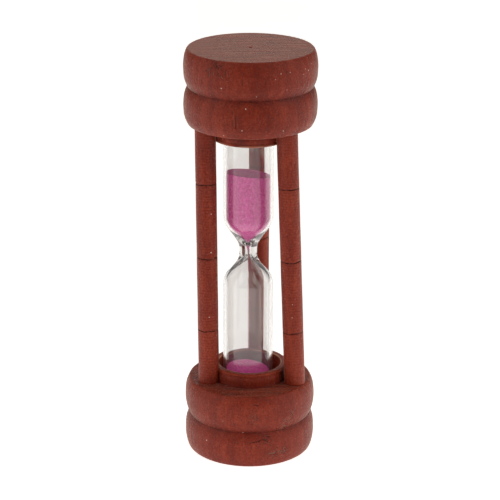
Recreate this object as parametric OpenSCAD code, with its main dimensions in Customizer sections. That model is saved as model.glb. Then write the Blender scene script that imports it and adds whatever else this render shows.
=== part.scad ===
// Small wooden hourglass: two turned end caps, three dowel posts, and a sealed
// glass vial of pink sand that stands loose between two cushions.
// The origin is the centre of the base, +Z is up, and -Y is the front.

/* [Frame] */
// Height of the whole timer
overall_h = 88.9; // [86:0.1:92]
// Radius of each end cap at the fullest part of its beads
cap_r = 14; // [14:0.1:15]
// Height of one bead; each cap has two
bead_h = 8; // [7.6:0.1:8.4]
// Radius of the flat face a cap stands on
face_r = 13.2; // [12.8:0.1:13.6]
// Radius at the bottom of the groove between the two beads
groove_r = 13.1; // [12.9:0.1:13.5]
// Radius of the flat face that the posts stand on
deck_r = 13.05; // [13:0.05:13.5]
// Fullness of a bead: 2 is a round arc, more is squarer
bead_power = 2.65; // [2:0.05:4]

/* [Collars] */
// Height of the collar that stands on the bottom cap around the vial
bottom_collar_h = 3.1; // [2.4:0.1:3.6]
// Height of the collar under the top cap
top_collar_h = 3.3; // [2.4:0.1:3.6]
// Radius of the collar's wall
collar_r = 8.1; // [7.8:0.1:8.3]
// Radius of the rounded edge around the collar's rim
rim_edge = 0.4; // [0.2:0.1:0.6]
// Radius of the bore that the vial stands in
bore_r = 6.75; // [6.5:0.05:6.9]
// Wood left between the end of the bore and the cap's outer face
floor_h = 10.5; // [9.5:0.1:10.8]

/* [Posts] */
// Radius of a post
post_r = 2.225; // [2:0.025:2.25]
// How far a post goes into each cap
socket_depth = 7; // [4:0.5:8]
// Distance between the burnt rings along a post
ring_pitch = 16.3; // [12:0.1:20]
// Depth of a burnt ring
ring_depth = 0.15; // [0.05:0.05:0.3]
// Width of a burnt ring at the surface
ring_w = 0.5; // [0.3:0.1:0.8]

/* [Vial] */
// Outer radius of the glass tube
vial_r = 5.37; // [5:0.01:5.6]
// Thickness of the tube's wall
wall = 0.65; // [0.5:0.05:0.9]
// Length of the vial
vial_len = 64; // [63:0.5:65]
// Outer radius of the neck
neck_r = 1.9; // [1.7:0.1:2.1]
// Radius of the orifice in the neck
orifice_r = 0.4; // [0.35:0.05:0.6]
// How far the loose vial stands to the right of the frame's axis
vial_shift = -0.4; // [-0.8:0.1:0.8]

/* [Sand] */
// Drop of the upper sand's level below the upper end of the vial
upper_ullage = 14.85; // [12:0.05:20]
// Slope of the upper sand's surface, down towards the back, in degrees
upper_tilt_back = 6; // [0:1:12]
// Slope of the upper sand's surface, down towards the right, in degrees
upper_tilt_right = 6; // [0:1:12]
// Height of the edge of the lower heap above the lower end of the vial
heap_edge = 5; // [3:0.1:8]
// Height of the lower heap's tip above its edge
heap_rise = 1.8; // [1:0.1:2.6]
// Radius of the falling stream
stream_r = 0.25; // [0.15:0.05:0.3]

/* [Hidden] */
$fn = 96;

// Small clearances: glue line round a post, glue at its end, cushion in its
// bore, vial against its cushion, and sand against glass
socket_gap = 0.05;
socket_end_gap = 0.2;
cushion_gap = 0.1;
seat_gap = 0.05;
sand_gap = 0.1;

cap_h = 2 * bead_h;
mid_z = overall_h / 2;
bead_steps = 16;
edge_step = 15;

// Where each post meets the lower deck and the upper deck, seen from above.
// The holes were drilled by hand, so the left and right posts lean a little.
LEFT = 0;
RIGHT = 1;
REAR = 2;
foot_xy = [[-8.8, -3.75], [9.7, -4.4], [1.9, 9.8]];
head_xy = [[-9.4, -3.4], [7.5, -6.6], [1.9, 9.8]];

// The lathe centre's mark in the middle of each outer face
mark_r = 0.5;
mark_depth = 0.3;

// The neck sits a hair above the middle of the frame
neck_z = mid_z + 0.15;
vial_z0 = neck_z - vial_len / 2;
vial_z1 = neck_z + vial_len / 2;
inner_r = vial_r - wall;
// Height of the rounded ends, outside and inside, and glass at their poles
end_h = 2.6;
inner_end_h = 1.6;
end_wall = 1;
dome_step = 10;
// Distances from the neck where the shoulders begin and where the straight
// tube begins: [below, above], for the outside and for the inside
outer_throat = [0.85, 0.6];
outer_shoulder = [7.0, 7.65];
inner_throat = [0.5, 1.4];
inner_shoulder = [7.2, 7.7];
// How far each shoulder leans from an S curve towards a round bowl
outer_bowl = [0, 0];
inner_bowl = [0.15, 0.65];
neck_step = 0.25;

// How deep the vial's rounded ends press into the cushions
seat_dip = 0.5;

// The sand's level over the vial's axis, and where the upper sand ends at the
// bottom of its bowl and the falling stream takes over
upper_level = vial_z1 - upper_ullage;
tip_z = neck_z + 1.7;
heap_edge_z = vial_z0 + heap_edge;
heap_top_z = heap_edge_z + heap_rise;

function smooth(t) = t <= 0 ? 0 : t >= 1 ? 1 : t * t * (3 - 2 * t);

// Radius of a bead at fraction t of its height, between its two edge radii
function bead_radius(t, from_r, to_r) =
    cap_r - (cap_r - (t < 0.5 ? from_r : to_r)) * pow(abs(2 * t - 1), bead_power);

function bead_points(z, from_r, to_r) = [
    for (i = [0:bead_steps])
        let (t = i / bead_steps)
        [bead_radius(t, from_r, to_r), z + bead_h * t]
];

// The rounded edge at the rim of a collar
function rim_points(rim_z) = [
    for (a = [0:edge_step:90])
        [collar_r - rim_edge * (1 - cos(a)), rim_z - rim_edge * (1 - sin(a))]
];

function cap_outline(collar_h) = concat(
    [[0, 0]],
    bead_points(0, face_r, groove_r),
    bead_points(bead_h, groove_r, deck_r),
    [[collar_r, cap_h]],
    rim_points(cap_h + collar_h),
    [[0, cap_h + collar_h]]
);

// A post's end points: at the decks, then carried on along its own line
function foot(i) = [foot_xy[i][0], foot_xy[i][1], cap_h];
function head(i) = [head_xy[i][0], head_xy[i][1], overall_h - cap_h];
function along(i, z) = foot(i) + (head(i) - foot(i)) * (z - cap_h) / (overall_h - 2 * cap_h);

// Height 0 to 1 of a round bowl's side at fraction t of its width
function round_bowl(t) = t <= 0 ? 0 : t >= 1 ? 1 : sin(90 * t);

// Radius of the glass at height s above the neck, for one wall of the tube
function tube_radius(s, throat, shoulder, bowl, small_r, large_r) =
    let (side = s < 0 ? 0 : 1)
    let (t = (abs(s) - throat[side]) / (shoulder[side] - throat[side]))
    small_r + (large_r - small_r)
        * (bowl[side] * round_bowl(t) + (1 - bowl[side]) * smooth(t));

function outer_tube(s) =
    tube_radius(s, outer_throat, outer_shoulder, outer_bowl, neck_r, vial_r);
function inner_tube(s) =
    tube_radius(s, inner_throat, inner_shoulder, inner_bowl, orifice_r, inner_r);

// Quarter of an ellipse from the pole at z out to radius r; way is +1 for a
// lower end and -1 for an upper end
function dome_points(z, h, r, way) = [
    for (a = [0:dome_step:90])
        [r * sin(a), z + way * h * (1 - cos(a))]
];

function reversed(list) = [for (i = [len(list) - 1:-1:0]) list[i]];

function vial_outline() = concat(
    dome_points(vial_z0, end_h, vial_r, 1),
    [for (s = [-outer_shoulder[0]:neck_step:outer_shoulder[1] + neck_step])
        [outer_tube(s), neck_z + s]],
    reversed(dome_points(vial_z1, end_h, vial_r, -1))
);

function cavity_outline() = concat(
    dome_points(vial_z0 + end_wall, inner_end_h, inner_r, 1),
    [for (s = [-inner_shoulder[0]:neck_step:inner_shoulder[1] + neck_step])
        [inner_tube(s), neck_z + s]],
    reversed(dome_points(vial_z1 - end_wall, inner_end_h, inner_r, -1))
);

module on_vial_axis() {
    translate([vial_shift, 0, 0])
        children();
}

// Stands its children on point a, leaning towards point b without a twist
module lean_towards(a, b) {
    run = b - a;
    way = atan2(run[1], run[0]);
    translate(a)
        rotate([0, acos(run[2] / norm(run)), way])
            rotate([0, 0, -way])
                children();
}

// The space for a post's end in either cap, with room for glue
module post_sockets() {
    depth = socket_depth + socket_end_gap;
    for (i = [LEFT, RIGHT, REAR]) {
        low = along(i, cap_h - depth);
        high = along(i, overall_h - cap_h + depth);
        lean_towards(low, high)
            cylinder(h = norm(high - low), r = post_r + socket_gap);
    }
}

module ring_cut() {
    rotate_extrude()
        polygon([
            [post_r - ring_depth, 0],
            [post_r + ring_depth, ring_w],
            [post_r + ring_depth, -ring_w]
        ]);
}

module post(i) {
    low = along(i, cap_h - socket_depth);
    high = along(i, overall_h - cap_h + socket_depth);
    length = norm(high - low);
    lean_towards(low, high)
        difference() {
            cylinder(h = length, r = post_r);
            for (k = [-1:1])
                translate([0, 0, length / 2 + k * ring_pitch])
                    ring_cut();
        }
}

// A turned cap lying on its outer face, with the bore and the centre mark
module turned_cap(collar_h) {
    difference() {
        rotate_extrude()
            polygon(cap_outline(collar_h));
        translate([0, 0, floor_h])
            cylinder(h = cap_h + collar_h, r = bore_r);
        cylinder(h = mark_depth, r1 = mark_r, r2 = 0);
    }
}

module bottom_cap() {
    color("sienna")
        difference() {
            turned_cap(bottom_collar_h);
            post_sockets();
        }
}

module top_cap() {
    color("sienna")
        difference() {
            translate([0, 0, overall_h])
                mirror([0, 0, 1])
                    turned_cap(top_collar_h);
            post_sockets();
        }
}

module post_left() {
    color("saddlebrown")
        post(LEFT);
}

module post_right() {
    color("saddlebrown")
        post(RIGHT);
}

module post_rear() {
    color("saddlebrown")
        post(REAR);
}

module vial_blank() {
    on_vial_axis()
        rotate_extrude()
            polygon(vial_outline());
}

// Soft disc at the end of each bore, dished where the vial presses into it
module bottom_cushion() {
    color("dimgray")
        difference() {
            translate([0, 0, floor_h])
                cylinder(h = vial_z0 + seat_dip - floor_h, r = bore_r - cushion_gap);
            translate([0, 0, -seat_gap])
                vial_blank();
        }
}

module top_cushion() {
    color("dimgray")
        difference() {
            translate([0, 0, vial_z1 - seat_dip])
                cylinder(h = overall_h - floor_h - vial_z1 + seat_dip, r = bore_r - cushion_gap);
            translate([0, 0, seat_gap])
                vial_blank();
        }
}

module glass_vial() {
    color("lightcyan", 0.35)
        difference() {
            vial_blank();
            on_vial_axis()
                rotate_extrude()
                    polygon(cavity_outline());
        }
}

// The upper sand fills the bulb's funnel, and its surface is a tilted plane
module upper_sand() {
    funnel_top = neck_z + inner_shoulder[1];
    slab = 4 * vial_r;
    color("orchid")
        on_vial_axis()
            intersection() {
                rotate_extrude()
                    polygon(concat(
                        [[0, tip_z]],
                        [for (z = [tip_z:neck_step:funnel_top])
                            [inner_tube(z - neck_z) - sand_gap, z]],
                        [[inner_r - sand_gap, funnel_top + neck_step],
                         [inner_r - sand_gap, upper_level + slab / 2],
                         [0, upper_level + slab / 2]]
                    ));
                translate([0, 0, upper_level])
                    rotate([-upper_tilt_back, upper_tilt_right, 0])
                        translate([-slab / 2, -slab / 2, -slab])
                            cube(slab);
            }
}

module lower_sand() {
    color("orchid")
        on_vial_axis()
            rotate_extrude()
                polygon(concat(
                    dome_points(vial_z0 + end_wall + sand_gap, inner_end_h,
                                inner_r - sand_gap, 1),
                    [[inner_r - sand_gap, heap_edge_z],
                     [stream_r, heap_top_z],
                     [0, heap_top_z]]
                ));
}

module sand_stream() {
    color("orchid")
        on_vial_axis()
            translate([0, 0, heap_top_z])
                cylinder(h = tip_z - heap_top_z, r = stream_r);
}

bottom_cap();
top_cap();
post_left();
post_right();
post_rear();
bottom_cushion();
top_cushion();
glass_vial();
upper_sand();
lower_sand();
sand_stream();
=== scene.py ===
"""Looks of a small wooden hourglass: turned caps, dowel posts, and a glass vial of pink sand.

Shapes are worked out in millimetres, in the CAD frame, and scaled to metres as each mesh is made.
The front is -Y. Azimuths are in degrees, from the front towards +X.
"""

import math

import bpy
import numpy as np
from mathutils import Matrix, Vector, noise


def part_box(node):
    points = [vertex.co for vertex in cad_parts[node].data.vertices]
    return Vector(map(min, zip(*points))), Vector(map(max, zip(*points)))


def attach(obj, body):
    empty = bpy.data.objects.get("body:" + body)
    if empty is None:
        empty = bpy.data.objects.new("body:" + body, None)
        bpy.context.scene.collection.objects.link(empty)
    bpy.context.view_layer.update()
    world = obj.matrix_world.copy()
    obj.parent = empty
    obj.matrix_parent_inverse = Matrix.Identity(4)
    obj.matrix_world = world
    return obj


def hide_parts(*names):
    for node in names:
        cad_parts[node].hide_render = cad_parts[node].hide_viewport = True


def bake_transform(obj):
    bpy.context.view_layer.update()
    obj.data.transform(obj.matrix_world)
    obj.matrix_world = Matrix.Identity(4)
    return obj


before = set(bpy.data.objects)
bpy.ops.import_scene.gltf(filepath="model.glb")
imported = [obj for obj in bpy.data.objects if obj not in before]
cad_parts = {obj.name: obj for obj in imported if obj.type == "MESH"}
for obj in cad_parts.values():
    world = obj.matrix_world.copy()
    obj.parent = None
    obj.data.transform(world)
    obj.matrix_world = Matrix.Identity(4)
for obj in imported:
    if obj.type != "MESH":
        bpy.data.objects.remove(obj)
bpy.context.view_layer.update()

MM = 0.001
TAU = 2 * math.pi
SHARP_EDGE = 40
CAP_SEGMENTS, POST_SEGMENTS, VIAL_SEGMENTS = 384, 64, 128


def box_mm(node):
    """Lowest and highest corner of a CAD node, in millimetres."""
    return tuple(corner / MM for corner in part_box(node))


CAP_LOW, CAP_HIGH = box_mm("bottom_cap")
VIAL_LOW, VIAL_HIGH = box_mm("glass_vial")

# The turned frame
OVERALL_H = box_mm("top_cap")[1].z
CAP_R = (CAP_HIGH.x - CAP_LOW.x) / 2
BEAD_H = 8.0
CAP_H = 2 * BEAD_H
BOTTOM_COLLAR_TOP = CAP_HIGH.z
TOP_COLLAR_TOP = OVERALL_H - box_mm("top_cap")[0].z
FACE_R = 13.2
GROOVE_R = 13.1
DECK_R = 13.05
BEAD_POWER = 2.65
COLLAR_R = 8.1
RIM_EDGE = 0.4
BORE_R = 6.75
BORE_FLOOR = 10.5
POST_R = 2.225
SOCKET_DEPTH = 7.0
SOCKET_GAP = 0.05
POST_NODES = ("post_left", "post_right", "post_rear")
RING_PITCH = 16.3
RING_HALF_W = 0.20
RING_DEPTH = 0.07
BURN_HALF_W = 0.12
RIPPLE_PITCH = 0.62
RIPPLE_H = 0.011

# The vial and its sand
VIAL_X = (VIAL_LOW.x + VIAL_HIGH.x) / 2
VIAL_R = (VIAL_HIGH.x - VIAL_LOW.x) / 2
TUBE_WALL = 0.65
INNER_R = VIAL_R - TUBE_WALL
NECK_Z = (VIAL_LOW.z + VIAL_HIGH.z) / 2
NECK_R = 1.9
ORIFICE_R = 0.4
END_H = 2.6
INNER_END_H = 1.6
END_WALL = 1.0
# Below and above the neck: where each wall starts to widen, where it reaches the tube, and how bowl-shaped
# it is in between
OUTER_THROAT, OUTER_SHOULDER, OUTER_BOWL = (0.85, 0.6), (7.0, 7.65), (0, 0)
INNER_THROAT, INNER_SHOULDER, INNER_BOWL = (0.5, 1.4), (7.2, 7.7), (0.15, 0.65)
SAND_GAP = 0.03
SAND_GRID = 0.15
SAND_TIP = box_mm("upper_sand")[0].z
SAND_LEVEL = 61.75
SAND_TILT_BACK, SAND_TILT_RIGHT = math.radians(6), math.radians(6)
FUNNEL_TOP = NECK_Z + INNER_SHOULDER[1]
HEAP_TOP = box_mm("lower_sand")[1].z
HEAP_H = 1.8
HEAP_EDGE = HEAP_TOP - HEAP_H
HEAP_FLOOR = VIAL_LOW.z + END_WALL


# ---------------------------------------------------------------- meshes


def turned(profile, segments, shape=None):
    """Points and faces of a (radius, height) profile turned about the Z axis.

    The profile has the solid on its left as it runs. shape takes arrays of radius, height and azimuth
    (in radians), one row per profile point, and returns the radii and heights to use.
    """
    radius = np.array([[p[0]] * segments for p in profile], float)
    height = np.array([[p[1]] * segments for p in profile], float)
    azimuth = np.tile(np.arange(segments) * TAU / segments, (len(profile), 1))
    if shape:
        poles = radius[:, :1] == 0
        radius, height = shape(radius, height, azimuth)
        radius = np.where(poles, 0, radius)
    points, rows = [], []
    for r, z, a in zip(radius, height, azimuth):
        first = len(points)
        if r.max() == 0:
            points.append((0.0, 0.0, z.mean()))
            rows.append([first] * segments)
        else:
            points.extend(zip(r * np.sin(a), -r * np.cos(a), z))
            rows.append(list(range(first, first + segments)))
    faces = []
    for low, high in zip(rows, rows[1:]):
        for i in range(segments):
            j = (i + 1) % segments
            corners = [low[i], low[j], high[j], high[i]]
            faces.append(tuple(dict.fromkeys(corners)))
    return np.array(points, float), faces


def make_piece(name, points, faces, material, sharp=SHARP_EDGE):
    """A smooth-shaded mesh object from points in millimetres. Edges over sharp degrees stay crisp."""
    mesh = bpy.data.meshes.new(name)
    mesh.from_pydata((np.asarray(points) * MM).tolist(), [], faces)
    mesh.shade_smooth()
    mesh.set_sharp_from_angle(angle=math.radians(sharp))
    mesh.materials.append(material)
    piece = bpy.data.objects.new(name, mesh)
    bpy.context.scene.collection.objects.link(piece)
    return piece


def set_values(piece, name, values):
    """Stores one number per vertex, for the piece's material to read."""
    attribute = piece.data.attributes.new(name, "FLOAT", "POINT")
    attribute.data.foreach_set("value", np.asarray(values, np.float32).ravel())


def smooth(t):
    t = np.clip(t, 0, 1)
    return t * t * (3 - 2 * t)


def steps(start, end, pitch):
    """Evenly spaced values from start to end, about pitch apart."""
    return np.linspace(start, end, max(2, round(abs(end - start) / pitch) + 1))


def softened(before, corner, after, count=4):
    """Points of a small round edge between two points beside a corner."""
    a, c, b = (np.array(p, float) for p in (before, corner, after))
    return [tuple((1 - t) ** 2 * a + 2 * t * (1 - t) * c + t * t * b) for t in np.linspace(0, 1, count + 1)]


def lumps(points, size, seed=0.0):
    """Smooth noise of about that size in millimetres, from -1 to 1, at each point."""
    shift = Vector((seed, 1.7 * seed, -seed))
    return np.array([noise.noise(Vector(p) / size + shift) for p in np.asarray(points)])


# ---------------------------------------------------------------- materials


class Look:
    """One material with a Principled shader, and short calls that add nodes to it."""

    def __init__(self, name, **values):
        self.material = bpy.data.materials.new(name)
        self.material.use_nodes = True
        self.tree = self.material.node_tree
        self.tree.nodes.clear()
        self.shader = self.add("BsdfPrincipled", **values)
        output = self.add("OutputMaterial")
        self.tree.links.new(self.shader.outputs[0], output.inputs["Surface"])
        place = self.add("TexCoord").outputs["Object"]
        self.place = self.math3("SCALE", place, scale=1 / MM)

    def add(self, kind, settings=None, **inputs):
        """A node of that kind. Inputs are named with _ for spaces; each is a value or an output socket."""
        node = self.tree.nodes.new("ShaderNode" + kind)
        for key, value in (settings or {}).items():
            setattr(node, key, value)
        for key, value in inputs.items():
            self.give(node.inputs[key.replace("_", " ")], value)
        return node

    def give(self, socket, value):
        if isinstance(value, bpy.types.NodeSocket):
            self.tree.links.new(value, socket)
        else:
            socket.default_value = value

    def math(self, operation, *values, clamp=False):
        node = self.add("Math", {"operation": operation, "use_clamp": clamp})
        for socket, value in zip(node.inputs, values):
            self.give(socket, value)
        return node.outputs[0]

    def math3(self, operation, *vectors, scale=None):
        node = self.add("VectorMath", {"operation": operation})
        for socket, value in zip(node.inputs, vectors):
            self.give(socket, value)
        if scale is not None:
            self.give(node.inputs["Scale"], scale)
        return node.outputs["Value" if operation in ("LENGTH", "DISTANCE", "DOT_PRODUCT") else "Vector"]

    def stretched(self, x, y, z):
        """Place in millimetres, scaled along each axis."""
        return self.math3("MULTIPLY", self.place, (x, y, z))

    def noise(self, place, scale, detail=3.0, roughness=0.5):
        node = self.add("TexNoise", Vector=place, Scale=scale, Detail=detail, Roughness=roughness)
        return node.outputs["Fac"]

    def cells(self, place, scale):
        return self.add("TexVoronoi", Vector=place, Scale=scale)

    def between(self, value, low, high, to_low=0.0, to_high=1.0):
        """Value carried from the range low..high to to_low..to_high, and held at its ends."""
        node = self.add("MapRange", Value=value, From_Min=low, From_Max=high, To_Min=to_low, To_Max=to_high)
        return node.outputs["Result"]

    def ramp(self, value, *stops):
        """Colour at value, from stops of (position, (r, g, b))."""
        node = self.add("ValToRGB", Fac=value)
        elements = node.color_ramp.elements
        while len(elements) < len(stops):
            elements.new(0.5)
        for element, (position, colour) in zip(elements, stops):
            element.position = position
            element.color = (*colour, 1)
        return node.outputs["Color"]

    def mix(self, amount, first, second):
        """Colour mix; first and second are colours or sockets."""
        node = self.add("Mix", {"data_type": "RGBA"})
        colour_sockets = [s for s in node.inputs if s.type == "RGBA"]
        self.give(node.inputs[0], amount)
        for socket, value in zip(colour_sockets, (first, second)):
            self.give(socket, value if isinstance(value, bpy.types.NodeSocket) else (*value, 1))
        return [s for s in node.outputs if s.type == "RGBA"][0]

    def bump(self, height, distance, strength=1.0):
        """Bump of that height in millimetres."""
        return self.add("Bump", Height=height, Distance=distance * MM, Strength=strength).outputs["Normal"]

    def speck(self, middle, radius):
        """1 on a small round speck at that place in millimetres, and 0 off it."""
        away = self.math3("DISTANCE", self.place, middle)
        return self.between(away, 0.6 * radius, radius, 1.0, 0.0)

    def stroke(self, place, start, end, width):
        """1 where place is on the straight line from start to end, and 0 from a width away."""
        run = end - start
        away = self.math3("SUBTRACT", place, start)
        share = self.math3("DOT_PRODUCT", away, run / run.length_squared)
        nearest = self.math3("SCALE", run, scale=self.math("ADD", share, 0.0, clamp=True))
        return self.between(self.math3("DISTANCE", away, nearest), 0.25 * width, width, 1.0, 0.0)

    def any_of(self, masks):
        """The greatest of several masks at each place."""
        whole = masks[0]
        for mask in masks[1:]:
            whole = self.math("MAXIMUM", whole, mask)
        return whole

    def attribute(self, name):
        return self.add("Attribute", {"attribute_name": name}).outputs["Fac"]

    def absorb(self, colour, density):
        """Darkens what is seen through the material by how much of it the light goes through."""
        volume = self.add("VolumeAbsorption", Color=(*colour, 1), Density=density)
        output = next(n for n in self.tree.nodes if n.type == "OUTPUT_MATERIAL")
        self.give(output.inputs["Volume"], volume.outputs[0])

    def let_light_in(self):
        """Lets lamps and bounced light through unbent, so that clear glass doesn't shade what it holds."""
        path = self.add("LightPath")
        soft = self.math("MAXIMUM", path.outputs["Is Shadow Ray"], path.outputs["Is Diffuse Ray"])
        clear = self.add("BsdfTransparent", Color=(0.97, 0.97, 0.97, 1))
        mixed = self.add("MixShader")
        for socket, source in zip(mixed.inputs, (soft, self.shader.outputs[0], clear.outputs[0])):
            self.give(socket, source)
        output = next(n for n in self.tree.nodes if n.type == "OUTPUT_MATERIAL")
        self.give(output.inputs["Surface"], mixed.outputs[0])
        return self.material

    def set(self, **inputs):
        for key, value in inputs.items():
            self.give(self.shader.inputs[key.replace("_", " ")], value)
        return self.material


# Colours of the stained wood, its burnt rings, the dust on it, also used for painted glints, and the wood
# where the stain is rubbed off, also used for painted highlights on the caps' rims
WOOD_DARK = (0.098, 0.0070, 0.0018)
WOOD_MID = (0.190, 0.0158, 0.0040)
WOOD_LIGHT = (0.315, 0.0425, 0.0145)
CHAR = (0.030, 0.0025, 0.0005)
DUST_AND_GLINT = (0.75, 0.62, 0.55)
BARE_WOOD_AND_HIGHLIGHT = (0.80, 0.50, 0.32)


def wood_grain(look, streaks):
    """Tone of stained wood whose grain runs along Z, and three of the noises that make it.

    Its growth layers lie nearly along X on the end faces.
    """
    streak = look.noise(look.stretched(1, 1, 0.16), 2.4, detail=6, roughness=0.65)
    layers = look.noise(look.stretched(0.13, 1, 0.03), 1.1, detail=4, roughness=0.6)
    patches = look.noise(look.stretched(1, 1, 0.45), 0.32, detail=3, roughness=0.55)
    speckle = look.noise(look.place, 2.9, detail=3, roughness=0.7)
    tone = 0.5
    for layer, share in ((streak, streaks), (layers, 1.0), (patches, 0.55), (speckle, 1.25)):
        tone = look.math("ADD", tone, look.math("MULTIPLY", look.math("SUBTRACT", layer, 0.5), share))
    return tone, streak, layers, speckle


def creases(look):
    """Fine wandering creases where the wood is scuffed: the dark ones, and light ones beside them that are
    painted highlight.
    """
    scuff = look.attribute("scuff")
    field = look.noise(look.stretched(1, 1, 1.5), 0.85, detail=4, roughness=0.6)
    lines = []
    for level in (0.50, 0.535):
        off = look.math("ABSOLUTE", look.math("SUBTRACT", field, level))
        lines.append(look.math("MULTIPLY", look.between(off, 0.0, 0.022, 1.0, 0.0), scuff))
    return lines


def scratches(look):
    """The scratches of both caps: the dark ones, and the light lines beside them, which are painted
    highlight. The bottom cap's ones wander.
    """
    drift = look.add("TexNoise", Vector=look.place, Scale=0.8, Detail=3.0).outputs["Color"]
    shift = look.math3("SCALE", look.math3("SUBTRACT", drift, (0.5, 0.5, 0.5)), scale=1.2)
    wandering = look.math3("ADD", look.place, shift)

    def drawn(place, marks):
        return [look.stroke(place, on_bead(*start), on_bead(*end), width) for start, end, width in marks]

    return [look.any_of(drawn(look.place, top) + drawn(wandering, bottom))
            for top, bottom in ((TOP_DARK, BOTTOM_DARK), (TOP_PAINTED_HIGHLIGHT, BOTTOM_PAINTED_HIGHLIGHT))]


def wood(name, streaks, finish=None):
    """Red-brown stained wood under a thin satin finish. The piece's own tone value shades it further, with
    painted shade and highlight along the caps' edges and the posts' ripple.

    finish takes the look, tone and relief, and returns them with what this piece alone shows.
    """
    look = Look(name, IOR=1.5, Specular_IOR_Level=0.19, Sheen_Weight=0.65, Sheen_Roughness=0.20,
                Sheen_Tint=(1.0, 0.84, 0.66, 1))
    tone, streak, layers, speckle = wood_grain(look, streaks)
    pores = look.cells(look.stretched(2.2, 2.2, 0.8), 1.0).outputs["Distance"]
    pore = look.between(pores, 0.10, 0.26, 1.0, 0.0)
    tone = look.math("SUBTRACT", tone, look.math("MULTIPLY", pore, 0.28))
    # Each piece's own tone. On the caps it holds painted highlight on the rims, and painted shade in the
    # groove and at the collar's foot. On the posts it holds painted shade and light along the cutter's
    # ripple.
    tone = look.math("ADD", tone, look.attribute("tone"))
    relief = look.math("ADD", look.math("MULTIPLY", streak, 0.5), look.math("MULTIPLY", speckle, 0.8))
    relief = look.math("SUBTRACT", relief, look.math("MULTIPLY", pore, 0.5))
    relief = look.math("ADD", relief, look.math("MULTIPLY", layers, 1.0))
    if finish:
        tone, relief = finish(look, tone, relief)
    colour = look.ramp(tone, (0.0, WOOD_DARK), (0.5, WOOD_MID), (1.0, WOOD_LIGHT))
    # A faint pale speckle over the wood: partly fine dust, partly painted glints.
    dust_and_glint_grit = look.noise(look.place, 3.4, detail=2, roughness=0.8)
    colour = look.mix(look.between(dust_and_glint_grit, 0.52, 0.68, 0.0, 0.035), colour, DUST_AND_GLINT)
    rough = look.between(speckle, 0.3, 0.7, 0.54, 0.36)
    return look, colour, rough, look.bump(relief, 0.13)


def handled(look, tone, relief):
    """Scratches and creases from handling, each with a painted highlight along its light side."""
    for (dark, light), shade in ((creases(look), 0.30), (scratches(look), 0.68)):
        tone = look.math("SUBTRACT", tone, look.math("MULTIPLY", dark, shade))
        # The light lines make the tone paler: painted highlight.
        tone = look.math("ADD", tone, look.math("MULTIPLY", light, 0.7 * shade))
        relief = look.math("SUBTRACT", relief, look.math("MULTIPLY", dark, 2.0 * shade))
        relief = look.math("ADD", relief, look.math("MULTIPLY", light, shade))
    return tone, relief


def cap_wood():
    look, colour, rough, normal = wood("cap_wood", streaks=0.65, finish=handled)
    specks = [look.speck(on_bead(*place), size) for *place, size in CAP_DUST]
    colour = look.mix(look.any_of(specks), colour, DUST_AND_GLINT)
    # Pale wood along the bore's edge and the upper collar's rim: partly rubbed bare, partly painted
    # highlight.
    colour = look.mix(look.attribute("bare_and_highlight"), colour, BARE_WOOD_AND_HIGHLIGHT)
    return look.set(Base_Color=colour, Roughness=rough, Normal=normal)


def post_wood():
    look, colour, rough, normal = wood("post_wood", streaks=0.45)
    burn = look.attribute("burn")
    colour = look.mix(burn, colour, CHAR)
    specks = [look.speck(on_post(*place), size) for *place, size in POST_DUST]
    colour = look.mix(look.any_of(specks), colour, DUST_AND_GLINT)
    return look.set(Base_Color=colour, Roughness=look.math("MAXIMUM", rough, burn), Normal=normal)


# The faint grey of the glass's outer surface, and the grey that light takes on inside it, per metre of glass
GLASS_OUTSIDE = (0.955, 0.957, 0.96)
GLASS_GREY = (0.50, 0.47, 0.45)
GLASS_DENSITY = 200


def vial_glass():
    """Clear drawn glass, faintly wavy and grey. Its inside is filmed with the sand's dust, in streaks."""
    look = Look("vial_glass", IOR=1.5, Transmission_Weight=0.97)
    waves = look.noise(look.stretched(1, 1, 0.05), 0.8, detail=2)
    haze = look.noise(look.place, 0.6, detail=4)
    streaks = look.noise(look.stretched(1, 1, 0.06), 1.6, detail=5, roughness=0.65)
    specks = look.noise(look.place, 3.0, detail=3, roughness=0.7)
    film = look.math("ADD", look.math("MULTIPLY", streaks, 0.7), look.math("MULTIPLY", specks, 0.3))
    filmed = look.ramp(film, (0.25, (0.915, 0.905, 0.90)), (0.75, (0.865, 0.85, 0.84)))
    look.set(Base_Color=look.mix(look.attribute("inside"), GLASS_OUTSIDE, filmed))
    look.set(Roughness=look.between(haze, 0.45, 0.75, 0.0, 0.03), Normal=look.bump(waves, 0.01, 0.5))
    look.absorb(GLASS_GREY, GLASS_DENSITY)
    return look.let_light_in()


def cushion_felt():
    """Dark pressed felt."""
    look = Look("cushion_felt", Sheen_Weight=0.5, Sheen_Roughness=0.5)
    fibres = look.noise(look.stretched(1, 1, 3), 5, detail=5, roughness=0.7)
    patches = look.noise(look.place, 0.7, detail=3)
    tone = look.math("ADD", look.math("MULTIPLY", fibres, 0.7), look.math("MULTIPLY", patches, 0.3))
    colour = look.ramp(tone, (0.25, (0.07, 0.06, 0.055)), (0.75, (0.22, 0.20, 0.185)))
    return look.set(Base_Color=colour, Roughness=0.95, Normal=look.bump(fibres, 0.06))


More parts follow.
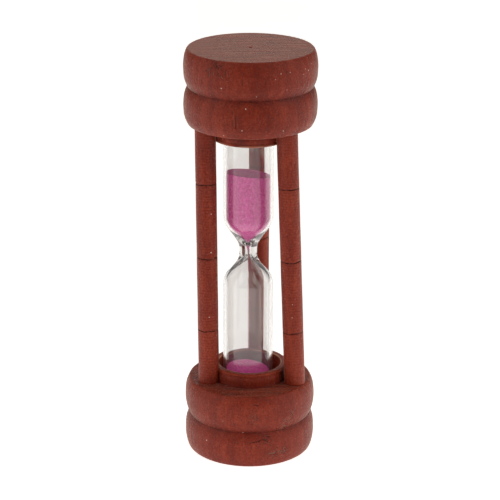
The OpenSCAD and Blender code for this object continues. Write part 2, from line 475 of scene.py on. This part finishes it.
def pink_sand():
    """Fine dyed sand: grains of slightly different pinks, with painted glints as pale dots on a few of them.
    """
    look = Look("pink_sand", IOR=1.5, Specular_IOR_Level=0.35)
    grain = look.cells(look.place, 7.0)
    edge = grain.outputs["Distance"]
    each = look.add("SeparateColor", Color=grain.outputs["Color"]).outputs[0]
    drift = look.noise(look.place, 0.5, detail=3)
    clumps = look.noise(look.place, 2.1, detail=3, roughness=0.7)
    tone = look.math("MULTIPLY_ADD", each, 0.50, -0.37)
    for layer, share in ((drift, 0.25), (clumps, 1.00)):
        tone = look.math("ADD", tone, look.math("MULTIPLY", layer, share))
    colour = look.ramp(tone, (0.25, (0.64, 0.040, 0.260)), (0.5, (0.87, 0.072, 0.410)),
                       (0.75, (0.98, 0.140, 0.580)))
    # Painted glints: pale pink dots on a few chosen grains.
    glint_cells = look.cells(look.place, 2.4)
    glint_chosen = look.between(look.add("SeparateColor", Color=glint_cells.outputs["Color"]).outputs[1], 0.90, 0.92)
    glint_dot = look.between(glint_cells.outputs["Distance"], 0.18, 0.30, 1.0, 0.0)
    colour = look.mix(look.math("MULTIPLY", glint_chosen, glint_dot), colour, (0.98, 0.55, 0.80))
    rough = look.between(each, 0.9, 1.0, 0.8, 0.35)
    return look.set(Base_Color=colour, Roughness=rough, Normal=look.bump(edge, -0.05))


# ---------------------------------------------------------------- caps

# Marks of use. Another script worked out their places from the photograph with a fitted camera, and they
# were then rounded. Places on the beads are (azimuth, height) with the timer standing. A scratch has a
# start, an end and a half-width. A dent has a start, an end, a half-width and a depth.
TOP_DARK = [
    ((-40, 86.5), (-35, 87.5), 0.10),
    ((-30, 88.0), (-28, 87.5), 0.20),
    ((-28, 88.0), (-25, 88.0), 0.10),
    ((-37, 86.5), (-37, 85.5), 0.10),
    ((-33, 86.5), (-33, 86.0), 0.10),
    ((-21, 87.0), (-21, 86.0), 0.10),
    ((-18, 86.5), (-18, 86.0), 0.10),
    ((-25, 86.0), (-24, 85.5), 0.10),
    ((-15, 79.0), (-15, 76.0), 0.10),
    ((-12, 78.0), (-12, 75.5), 0.15),
    ((-6, 87.0), (-7, 84.5), 0.10),
]
# Light lines beside the top cap's scratches: painted highlights.
TOP_PAINTED_HIGHLIGHT = [
    ((-11, 78.5), (-11, 75.5), 0.10),
    ((-14, 78.5), (-14, 76.0), 0.10),
    ((-21, 85.5), (-22, 83.5), 0.10),
    ((-38, 87.5), (-34, 88.0), 0.10),
]
TOP_DENTS = [((-30, 88.0), (-28, 87.5), 0.4, 0.08)]
BOTTOM_DARK = [
    ((3, 15.0), (7, 14.5), 0.20),
    ((29, 16.0), (26, 15.5), 0.10),
    ((39, 10.5), (36, 10.0), 0.10),
    ((36, 10.0), (31, 9.5), 0.15),
    ((0, 12.0), (5, 12.0), 0.10),
    ((3, 12.0), (7, 11.0), 0.15),
    ((-13, 6.0), (2, 6.0), 0.10),
    ((2, 6.0), (11, 6.5), 0.15),
    ((14, 7.0), (18, 7.0), 0.20),
    ((13, 6.5), (17, 6.0), 0.20),
    ((18, 3.0), (35, 3.0), 0.15),
]
# Light lines beside the bottom cap's scratches: painted highlights.
BOTTOM_PAINTED_HIGHLIGHT = [
    ((2, 16.0), (6, 15.0), 0.10),
    ((0, 15.0), (4, 14.0), 0.10),
    ((4, 14.0), (8, 13.5), 0.10),
    ((19, 15.0), (19, 14.5), 0.10),
    ((46, 13.5), (43, 12.0), 0.10),
    ((43, 12.0), (33, 10.0), 0.10),
    ((32, 9.0), (42, 8.5), 0.10),
    ((2, 4.5), (11, 5.5), 0.10),
    ((18, 4.5), (28, 4.5), 0.10),
    ((10, 2.5), (14, 3.0), 0.10),
]
BOTTOM_DENTS = [
    ((4, 12.0), (5, 11.0), 0.5, 0.06),
    ((38, 11.0), (32, 9.0), 0.5, 0.05),
    ((13, 6.5), (17, 6.0), 0.5, 0.06),
    ((18, 3.0), (32, 3.0), 0.4, 0.04),
]
# Bright specks of dust: azimuth, height and radius
CAP_DUST = [
    (26, 86.5, 0.11), (35, 86.5, 0.09), (53, 86.5, 0.10), (57, 86.0, 0.15), (64, 87.0, 0.12),
    (50, 85.5, 0.09), (21, 85.5, 0.08), (32, 83.0, 0.08), (-25, 83.5, 0.13), (5, 82.0, 0.09),
    (-4, 79.5, 0.15), (-7, 75.0, 0.13), (29, 74.5, 0.11), (-24, 73.5, 0.12), (-41, 5.0, 0.15),
    (-24, 10.5, 0.08), (-6, 8.0, 0.09),
]
# The same on the posts, with the post's node first
POST_DUST = [
    ("post_left", 28, 54.5, 0.12), ("post_left", 24, 46.0, 0.15), ("post_left", 8, 31.5, 0.13),
    ("post_right", 1, 35.0, 0.09), ("post_right", -4, 32.0, 0.09),
]


def bead_radius(t, from_r, to_r):
    """Radius of a bead at share t of its height, whose edges have those radii."""
    edge = from_r if t < 0.5 else to_r
    return CAP_R - (CAP_R - edge) * abs(2 * t - 1) ** BEAD_POWER


def on_bead(azimuth, height):
    """The place in millimetres on a cap's beads at that azimuth and height."""
    up = height if height < CAP_H + 1 else OVERALL_H - height
    edges = (FACE_R, GROOVE_R) if up < BEAD_H else (GROOVE_R, DECK_R)
    radius = bead_radius(up % BEAD_H / BEAD_H, *edges)
    a = math.radians(azimuth)
    return Vector((radius * math.sin(a), -radius * math.cos(a), height))


def bead(bottom, from_r, to_r):
    """Points up one bead, whose edges have those radii."""
    return [(bead_radius(t, from_r, to_r), bottom + BEAD_H * t) for t in np.linspace(0, 1, 41)]


def cap_profile(collar_top):
    """Outline of a cap that lies on its outer face, from the middle of that face to the bore's floor."""
    lathe_mark = [(0, 0.3), (0.16, 0.22), (0.34, 0.09), (0.5, 0.015), (0.65, 0)]
    face = [(r, 0.0) for r in steps(1.0, FACE_R - 0.4, 0.4)]
    lower = bead(0.0, FACE_R, GROOVE_R)
    upper = bead(BEAD_H, GROOVE_R, DECK_R)
    deck = [(r, CAP_H) for r in steps(DECK_R - 0.4, COLLAR_R + 0.3, 0.4)]
    wall = [(COLLAR_R - collar_hollow(collar_top - z), z)
            for z in steps(CAP_H + 0.25, collar_top - RIM_EDGE, 0.1)]
    edge = [(COLLAR_R - RIM_EDGE * (1 - math.cos(a)), collar_top - RIM_EDGE * (1 - math.sin(a)))
            for a in np.radians(np.arange(18, 91, 18))]
    rim = [(r, collar_top) for r in steps(COLLAR_R - RIM_EDGE - 0.15, BORE_R + 0.25, 0.2)]
    bore = [(BORE_R, z) for z in steps(collar_top - 0.4, BORE_FLOOR + 0.2, 0.8)]
    floor = [(r, BORE_FLOOR) for r in (6.4, 4.5, 2.5, 1.0, 0.0)]
    return (lathe_mark + face
            + softened((FACE_R - 0.25, 0), (FACE_R, 0), lower[2])
            + lower[3:] + upper[1:-2]
            + softened(upper[-2], (DECK_R, CAP_H), (DECK_R - 0.25, CAP_H))[1:]
            + deck
            + softened((COLLAR_R + 0.12, CAP_H), (COLLAR_R, CAP_H), (COLLAR_R, CAP_H + 0.12), 3)
            + wall + edge + rim
            + softened((BORE_R + 0.15, collar_top), (BORE_R, collar_top), (BORE_R, collar_top - 0.15), 3)
            + bore + floor)


def collar_hollow(depth):
    """How far the collar's wall is turned in, that far below its rim: a fine line, then a slight swell."""
    line = 0.07 * math.exp(-(((depth - 0.75) / 0.14) ** 2))
    return 0.05 + line - 0.05 * float(smooth((depth - 0.9) / 0.5)) * float(smooth((2.6 - depth) / 1.2))


def along_dent(azimuth, height, start, end):
    """Distance in millimetres from a dent between two (azimuth, height) places on the beads."""
    u, v = azimuth * CAP_R, height
    a, b = (np.array((math.radians(p[0]) * CAP_R, p[1])) for p in (start, end))
    run = b - a
    u = (u - a[0] + math.pi * CAP_R) % (TAU * CAP_R) - math.pi * CAP_R
    v = v - a[1]
    t = np.clip((u * run[0] + v * run[1]) / (run @ run), 0, 1)
    return np.hypot(u - t * run[0], v - t * run[1])


def hand_turned(dents, phase):
    """How one cap strays from its true outline: slightly out of round, with dents from handling."""

    def shape(radius, height, azimuth):
        side = radius > GROOVE_R - 0.5
        out = 0.025 * np.cos(azimuth - phase) + 0.02 * np.cos(2 * azimuth + 2 * phase)
        out = out + 0.012 * np.cos(5 * azimuth + height * 0.4 + phase)
        out = out + 0.012 * np.sin(height * 2.3 + np.cos(azimuth + phase))
        for start, end, width, depth in dents:
            out = out - depth * np.exp(-((along_dent(azimuth, height, start, end) / width) ** 2))
        return np.where(side, radius + out, radius), height

    return shape


def scuffing(points, dents):
    """How scuffed each vertex of a cap is: most round its dents."""
    azimuth = np.arctan2(points[:, 0], -points[:, 1])
    scuff = np.zeros(len(points))
    for start, end, width, _ in dents:
        away = along_dent(azimuth, points[:, 2], start, end)
        scuff += np.exp(-((away / (width + 0.8)) ** 2))
    side = np.hypot(points[:, 0], points[:, 1]) > GROOVE_R - 0.5
    return np.clip(scuff, 0, 1) * side


def edge_wear_and_painted_light(points, collar_top, flipped):
    """Tone along a cap's edges: paler rims, partly wear and partly painted highlight, and painted shade in
    its groove and at the foot of its collar.
    """
    radius = np.hypot(points[:, 0], points[:, 1])
    height = OVERALL_H - points[:, 2] if flipped else points[:, 2]
    patchy = 0.75 + 0.6 * lumps(points, 1.3, 4.0)
    tone = np.zeros(len(points))
    # Each row: radius and height of an edge, its width, and how much paler it is painted. Positive rows are
    # partly wear and partly painted highlight. Negative rows are painted shade in the groove and at the
    # collar's foot.
    for r, z, size, shade in (
        (BORE_R, collar_top, 0.16, 0.55),
        (COLLAR_R, collar_top - 0.15, 0.25, 0.50),
        (COLLAR_R, CAP_H, 0.35, -0.35),
        (DECK_R, CAP_H, 0.14, 0.30),
        (GROOVE_R, BEAD_H, 0.22, -0.30),
        (GROOVE_R, BEAD_H, 1.00, -0.22),
        (FACE_R, 0, 0.14, 0.22),
    ):
        tone += shade * patchy * np.exp(-((np.hypot(radius - r, height - z) / size) ** 2))
    flat = (radius < DECK_R - 0.3) & ((height < 0.1) | (abs(height - CAP_H) < 0.1))
    return tone + 0.60 * flat * lumps(points * (0.12, 1, 0), 0.9, 6.0)


def bare_and_painted_highlight(points, collar_top, flipped):
    """How pale a cap is painted, partly bare of stain and partly painted highlight: along the bore's edge,
    and on the upper cap round the collar too.
    """
    radius = np.hypot(points[:, 0], points[:, 1])
    height = OVERALL_H - points[:, 2] if flipped else points[:, 2]
    bare_and_highlight = np.exp(-((np.hypot(radius - BORE_R, height - collar_top) / 0.13) ** 2))
    if flipped:
        bare_and_highlight += 0.30 * np.exp(-((np.hypot(radius - COLLAR_R, height - collar_top + 0.2) / 0.25) ** 2))
    return bare_and_highlight * np.clip(0.7 + 1.3 * lumps(points, 2.2, 8.0), 0, 1)


def cut_sockets(cap, name):
    """Cuts the three blind holes for the posts into a cap."""
    for node in POST_NODES:
        low, high = post_ends(node)
        run = (high - low).normalized()
        points, faces = post_shape(low - run * 0.2, high + run * 0.2, POST_R + SOCKET_GAP, 48)
        cutter = make_piece(f"{name}_cutter", points, faces, cap.data.materials[0])
        cut = cap.modifiers.new("socket", "BOOLEAN")
        cut.operation = "DIFFERENCE"
        cut.solver = "EXACT"
        cut.object = cutter
        apply_modifiers(cap)
        bpy.data.objects.remove(cutter)


def apply_modifiers(piece):
    """Makes what the modifiers give the piece's own mesh."""
    shown = piece.evaluated_get(bpy.context.evaluated_depsgraph_get())
    mesh = bpy.data.meshes.new_from_object(shown)
    piece.modifiers.clear()
    piece.data = mesh


def make_cap(name, node, collar_top, flipped, dents, phase, material):
    profile = cap_profile(collar_top)
    if flipped:
        profile = [(r, OVERALL_H - z) for r, z in reversed(profile)]
    points, faces = turned(profile, CAP_SEGMENTS, hand_turned(dents, phase))
    piece = make_piece(name, points, faces, material)
    set_values(piece, "tone", edge_wear_and_painted_light(points, collar_top, flipped))
    set_values(piece, "scuff", scuffing(points, dents))
    set_values(piece, "bare_and_highlight", bare_and_painted_highlight(points, collar_top, flipped))
    cut_sockets(piece, name)
    piece.data.set_sharp_from_angle(angle=math.radians(SHARP_EDGE))
    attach(piece, "frame")
    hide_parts(node)


# ---------------------------------------------------------------- posts


def post_ends(node):
    """The middle of a post's lower and upper end, in millimetres."""
    places = np.array([v.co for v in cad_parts[node].data.vertices]) / MM
    height = places[:, 2]
    end = 0.5
    low = places[height < height.min() + end].mean(0)
    high = places[height > height.max() - end].mean(0)
    low[2], high[2] = height.min(), height.max()
    return Vector(low), Vector(high)


def on_post(node, azimuth, height):
    """The place in millimetres on a post at that azimuth and height."""
    low, high = post_ends(node)
    middle = low.lerp(high, (height - low.z) / (high.z - low.z))
    a = math.radians(azimuth)
    return middle + Vector((POST_R * math.sin(a), -POST_R * math.cos(a), 0))


def post_shape(low, high, radius, segments, heights=None, shape=None):
    """A round bar between two points. heights are where it has rings, from 0 at its lower end."""
    length = (high - low).length
    heights = (0.0, length) if heights is None else heights
    profile = [(0, 0)] + [(radius, h) for h in heights] + [(0, length)]
    points, faces = turned(profile, segments, shape)
    turn = Vector((0, 0, 1)).rotation_difference(high - low).to_matrix()
    return points @ np.array(turn).T + np.array(low), faces


def make_post(node, material, phase):
    low, high = post_ends(node)
    length = (high - low).length
    middle = length / 2
    shown = steps(SOCKET_DEPTH - 0.5, length - SOCKET_DEPTH + 0.5, 0.1)
    hidden = steps(0.15, SOCKET_DEPTH - 1, 1.0)
    heights = np.concatenate([hidden, shown, (length - hidden)[::-1]])
    rings = [middle + k * RING_PITCH for k in (-1, 0, 1)]

    def ring_distance(height, azimuth, ring):
        """Distance along the post from a burnt ring, whose edge wanders a little."""
        wander = 0.05 * np.sin(3 * azimuth + ring) + 0.03 * np.sin(7 * azimuth + 2 * ring)
        return np.abs(height - ring - wander)

    def ripple(height, azimuth):
        """The cutter's fine spiral, deeper in some places than in others."""
        swell = np.sin(height * 0.9 + phase + azimuth) * np.sin(height * 0.37 + 2 * phase)
        wander = 0.8 * np.sin(height * 1.3 + 2 * azimuth)
        return (0.7 + 0.3 * swell) * np.sin(TAU * height / RIPPLE_PITCH + azimuth + wander)

    def shape(radius, height, azimuth):
        out = 0.012 * np.cos(2 * azimuth + phase) + 0.01 * np.sin(height * 0.5 + azimuth)
        out = out + RIPPLE_H * ripple(height, azimuth)
        for ring in rings:
            depth = RING_DEPTH + 0.03 * np.sin(5 * azimuth + ring)
            out = out - depth * np.clip(1 - ring_distance(height, azimuth, ring) / RING_HALF_W, 0, 1)
        return radius + out, height

    points, faces = post_shape(low, high, POST_R, POST_SEGMENTS, heights, shape)
    piece = make_piece(node + "_dowel", points, faces, material)
    turn = Vector((0, 0, 1)).rotation_difference(high - low).to_matrix()
    local = (points - np.array(low)) @ np.array(turn)
    azimuth, height = np.arctan2(local[:, 0], -local[:, 1]), local[:, 2]
    burn = np.zeros(len(points))
    for ring in rings:
        away = ring_distance(height, azimuth, ring)
        burn = np.maximum(burn, np.clip(1.6 - away / BURN_HALF_W, 0, 1))
    burn = np.clip(burn * (0.95 + 0.9 * lumps(points, 0.45, phase)), 0, 1)
    set_values(piece, "burn", burn)
    # Tone of each post: random patches, and a rise and fall with the cutter's ripple, which is painted shade
    # and light on the ripple's ridges.
    set_values(piece, "tone", 0.10 + 0.06 * lumps(points, 4.0, phase) + 0.11 * ripple(height, azimuth))
    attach(piece, "frame")
    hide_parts(node)


# ---------------------------------------------------------------- vial


def tube_radius(s, throat, shoulder, bowl, small_r, large_r):
    """Radius of one wall of the vial at height s above the neck."""
    side = 0 if s < 0 else 1
    t = min(1, max(0, (abs(s) - throat[side]) / (shoulder[side] - throat[side])))
    share = bowl[side] * math.sin(math.pi / 2 * t) + (1 - bowl[side]) * float(smooth(t))
    return small_r + (large_r - small_r) * share


def outer_radius(s):
    return tube_radius(s, OUTER_THROAT, OUTER_SHOULDER, OUTER_BOWL, NECK_R, VIAL_R)


def inner_radius(s):
    return tube_radius(s, INNER_THROAT, INNER_SHOULDER, INNER_BOWL, ORIFICE_R, INNER_R)


def dome(z, height, radius, way):
    """A rounded end from its pole at z out to the tube; way is 1 for a lower end and -1 for an upper one."""
    turns = np.linspace(0, math.pi / 2, 13)
    return [(radius * math.sin(a), z + way * height * (1 - math.cos(a))) for a in turns]


def wall_profile(low, high, end_h, tube_r, radius_at, shoulder):
    """Outline of one wall of the vial, from the lower pole to the upper."""
    lower = [(tube_r, z) for z in steps(low + end_h, NECK_Z - shoulder[0], 2.0)]
    neck = [(radius_at(s), NECK_Z + s) for s in steps(-shoulder[0], shoulder[1], 0.2)]
    upper = [(tube_r, z) for z in steps(NECK_Z + shoulder[1], high - end_h, 2.0)]
    return (dome(low, end_h, tube_r, 1)[:-1] + lower[:-1] + neck + upper[1:]
            + dome(high, end_h, tube_r, -1)[-2::-1])


def make_vial(material):
    outer = wall_profile(VIAL_LOW.z, VIAL_HIGH.z, END_H, VIAL_R, outer_radius, OUTER_SHOULDER)
    inner = wall_profile(VIAL_LOW.z + END_WALL, VIAL_HIGH.z - END_WALL, INNER_END_H, INNER_R,
                         inner_radius, INNER_SHOULDER)
    points, faces = turned(outer, VIAL_SEGMENTS)
    inside, inside_faces = turned(inner[::-1], VIAL_SEGMENTS)
    faces += [tuple(i + len(points) for i in face) for face in inside_faces]
    points = np.vstack([points, inside]) + (VIAL_X, 0, 0)
    piece = make_piece("vial_tube", points, faces, material)
    set_values(piece, "inside", np.arange(len(points)) >= len(points) - len(inside))
    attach(piece, "vial")
    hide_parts("glass_vial")


def make_cushion(name, node, material):
    """A pressed felt disc with a soft edge, dished where the vial stands in it."""
    low, high = box_mm(node)
    radius = (high.x - low.x) / 2
    upper = low.z > NECK_Z
    back, front = (high.z, low.z) if upper else (low.z, high.z)
    way = -1 if upper else 1
    pole = VIAL_HIGH.z + 0.05 if upper else VIAL_LOW.z - 0.05

    def dish(r):
        """Height of the seat under the vial's rounded end, or the flat felt beside it."""
        dip = END_H * (1 - math.sqrt(max(0.0, 1 - (r / VIAL_R) ** 2))) if r < VIAL_R else END_H
        return min(abs(front - back), abs(pole - back) + dip)

    top = [(r, back + way * dish(r)) for r in steps(radius - 0.35, 0.0, 0.2)]
    edge = softened((radius, front - way * 0.3), (radius, front), (radius - 0.3, front))
    bottom = [(0, back), (2.5, back), (5.0, back), (radius - 0.2, back), (radius, back + way * 0.2)]
    profile = bottom + edge + top
    if upper:
        profile = profile[::-1]

    def fuzz(r, z, azimuth):
        return r - 0.03 * (1 + np.sin(9 * azimuth + 3 * z)) * (r > 1), z

    points, faces = turned(profile, 96, fuzz)
    points[:, 2] -= way * 0.02 * np.abs(lumps(points, 0.5, 3.0))
    piece = make_piece(name, points, faces, material, sharp=60)
    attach(piece, "frame")
    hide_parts(node)


# ---------------------------------------------------------------- sand


def make_upper_sand(material):
    """The sand above the neck. Only its level moves, so its side is one long row of faces."""
    side_r = INNER_R - SAND_GAP
    funnel = [(max(0.02, inner_radius(z - NECK_Z) - SAND_GAP), z) for z in steps(SAND_TIP, FUNNEL_TOP, 0.2)]
    count = len(funnel) + 1
    profile = [(0, SAND_TIP)] + funnel + [(r, SAND_LEVEL) for r in steps(side_r, 0, SAND_GRID)]
    points, faces = turned(profile, VIAL_SEGMENTS)
    top = np.arange(len(points)) >= 1 + (count - 1) * VIAL_SEGMENTS
    x, y = points[:, 0], points[:, 1]
    level = SAND_LEVEL - y * math.tan(SAND_TILT_BACK) - x * math.tan(SAND_TILT_RIGHT)
    reach = np.hypot(x, y) / side_r
    hollow = -0.10 * (1 - reach**2) + 0.05 * reach**8
    grains = 0.10 * lumps(points, 1.6, 5.0) + 0.035 * lumps(points, 0.3, 9.0)
    surface = level + hollow + grains * np.clip(3 * (1.02 - reach), 0.2, 1)
    points[:, 2] = np.where(top, surface, points[:, 2])
    piece = make_piece("sand_above_neck", points + (VIAL_X, 0, 0), faces, material)
    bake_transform(piece)
    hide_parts("upper_sand")


def make_lower_sand(material):
    """The heap in the lower bulb. Its rounded bottom stays put and its surface moves."""
    side_r = INNER_R - SAND_GAP
    profile = [(max(0, r - SAND_GAP), z + SAND_GAP) for r, z in dome(HEAP_FLOOR, INNER_END_H, INNER_R, 1)]
    count = len(profile)
    profile += [(r, HEAP_EDGE) for r in steps(side_r, 0, SAND_GRID)]
    points, faces = turned(profile, VIAL_SEGMENTS)
    top = np.arange(len(points)) >= 1 + (count - 1) * VIAL_SEGMENTS
    x, y = points[:, 0], points[:, 1]
    reach = np.hypot(x, y) / side_r
    cone = HEAP_H * (1 - np.sqrt(reach**2 + 0.003)) / (1 - math.sqrt(0.003))
    lean = -0.38 * x / side_r - 0.05 * y / side_r
    grains = 0.10 * lumps(points, 1.8, 7.0) + 0.03 * lumps(points, 0.3, 2.0)
    surface = HEAP_EDGE + cone + (lean + grains) * np.minimum(1, 2.5 * reach)
    points[:, 2] = np.where(top, surface, points[:, 2])
    piece = make_piece("sand_heap", points + (VIAL_X, 0, 0), faces, material)
    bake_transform(piece)
    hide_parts("lower_sand")


def make_stream(material):
    """The falling stream: it leaves the orifice thick and thins as it falls."""
    start, end = SAND_TIP - 0.02, HEAP_TOP - 0.1
    heights = steps(end, start, 0.12)

    def shape(radius, height, azimuth):
        fall = (start - height) / (start - end)
        slim = 0.32 - 0.295 * smooth(fall * 12)
        ragged = 1 + 0.22 * np.sin(height * 7 + 2 * np.sin(height * 2.3)) * np.sin(3 * azimuth + height * 5)
        return slim * ragged, height

    profile = [(0, end)] + [(1, z) for z in heights[1:-1]] + [(0, start)]
    points, faces = turned(profile, 10, shape)
    piece = make_piece("sand_thread", points + (VIAL_X, 0, 0), faces, material, sharp=60)
    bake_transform(piece)
    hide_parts("sand_stream")


# ---------------------------------------------------------------- studio


# The floor's own glow round the timer. In front and behind it changes to another glow between two depths,
# and at each side some is added between two distances from the middle.
FLOOR_GLOW = 0.80
FRONT_GLOW, FRONT_FADE = 0.15, (-140, -50)
BACK_GLOW, BACK_FADE = 0.48, (0, 70)
SIDE_GLOW, SIDE_FADE = 0.16, (20, 70)
FLOOR_EDGE = (480, 620)
FLOOR_HALF = 3000
WARM = (1.0, 0.965, 0.91)
PALE_WARM = (1.0, 0.985, 0.955)
WORLD_LIGHT = 0.12

# The camera's place in millimetres, its tilt and roll in degrees, and its lens in millimetres
CAMERA_PLACE = (0, -402.1, 186.8)
CAMERA_DOWN = 19.47
CAMERA_ROLL = 0.19
CAMERA_LENS = 144
SENSOR_W = 36


def make_floor():
    """A white floor that glows a little itself, so that hardly a shadow shows on it."""
    look = Look("floor_paper", Roughness=0.9, Specular_IOR_Level=0.1)
    shade = look.noise(look.place, 0.02, detail=2)
    pale = look.ramp(shade, (0.0, (0.90, 0.90, 0.90)), (1.0, (0.93, 0.93, 0.93)))
    away = look.math3("LENGTH", look.stretched(1, 1, 0))
    far = look.between(away, *FLOOR_EDGE)
    colour = look.mix(far, pale, (0.25, 0.25, 0.25))
    split = look.add("SeparateXYZ", Vector=look.place)
    across, depth = look.math("ABSOLUTE", split.outputs["X"]), split.outputs["Y"]
    glow = look.between(depth, *BACK_FADE, FLOOR_GLOW, BACK_GLOW)
    glow = look.math("MINIMUM", glow, look.between(depth, *FRONT_FADE, FRONT_GLOW, FLOOR_GLOW))
    glow = look.math("ADD", glow, look.between(across, *SIDE_FADE, 0.0, SIDE_GLOW))
    glow = look.math("MULTIPLY", look.math("SUBTRACT", 1, far), glow)
    look.set(Base_Color=colour, Emission_Color=(*PALE_WARM, 1), Emission_Strength=glow)
    corners = [(x * FLOOR_HALF, y * FLOOR_HALF, 0) for x, y in ((-1, -1), (1, -1), (1, 1), (-1, 1))]
    floor = make_piece("floor", corners, [(0, 1, 2, 3)], look.material)


def soft_light(name, place, size, power, aim=(0, 0, 45)):
    """A square light at place, facing aim, both in millimetres."""
    data = bpy.data.lights.new(name, "AREA")
    data.shape = "SQUARE"
    data.size = size * MM
    data.energy = power
    data.color = WARM
    light = bpy.data.objects.new(name, data)
    light.location = Vector(place) * MM
    light.rotation_mode = "QUATERNION"
    light.rotation_quaternion = (Vector(aim) - Vector(place)).to_track_quat("-Z", "Y")
    bpy.context.scene.collection.objects.link(light)


def make_world():
    world = bpy.data.worlds.new("studio")
    world.use_nodes = True
    background = world.node_tree.nodes["Background"]
    background.inputs["Color"].default_value = (1, 1, 1, 1)
    background.inputs["Strength"].default_value = WORLD_LIGHT
    bpy.context.scene.world = world


def make_camera():
    data = bpy.data.cameras.new("camera")
    data.lens = CAMERA_LENS
    data.sensor_width = SENSOR_W
    data.clip_start, data.clip_end = 0.01, 20
    camera = bpy.data.objects.new("camera", data)
    tilt = Matrix.Rotation(math.radians(90 - CAMERA_DOWN), 4, "X")
    roll = Matrix.Rotation(math.radians(CAMERA_ROLL), 4, "Z")
    camera.matrix_world = Matrix.Translation(Vector(CAMERA_PLACE) * MM) @ tilt @ roll
    bpy.context.scene.collection.objects.link(camera)
    bpy.context.scene.camera = camera


def make_studio():
    make_floor()
    make_world()
    make_camera()
    soft_light("left_panel", (-800, -220, 430), 1200, 5.6)
    soft_light("right_panel", (800, -220, 430), 1200, 6.4)
    soft_light("top_softbox", (0, 250, 850), 600, 1.3)
    soft_light("back_panel", (0, 950, 330), 600, 0.9)
    bpy.context.scene.view_settings.view_transform = "Standard"


cap_look = cap_wood()
post_look = post_wood()
sand_look = pink_sand()
felt_look = cushion_felt()
make_cap("bottom_cap_turned", "bottom_cap", BOTTOM_COLLAR_TOP, False, BOTTOM_DENTS, 0.7, cap_look)
make_cap("top_cap_turned", "top_cap", TOP_COLLAR_TOP, True, TOP_DENTS, 2.9, cap_look)
for number, node in enumerate(POST_NODES):
    make_post(node, post_look, 1.3 * number)
make_cushion("bottom_cushion_felt", "bottom_cushion", felt_look)
make_cushion("top_cushion_felt", "top_cushion", felt_look)
make_vial(vial_glass())
make_upper_sand(sand_look)
make_lower_sand(sand_look)
make_stream(sand_look)
make_studio()
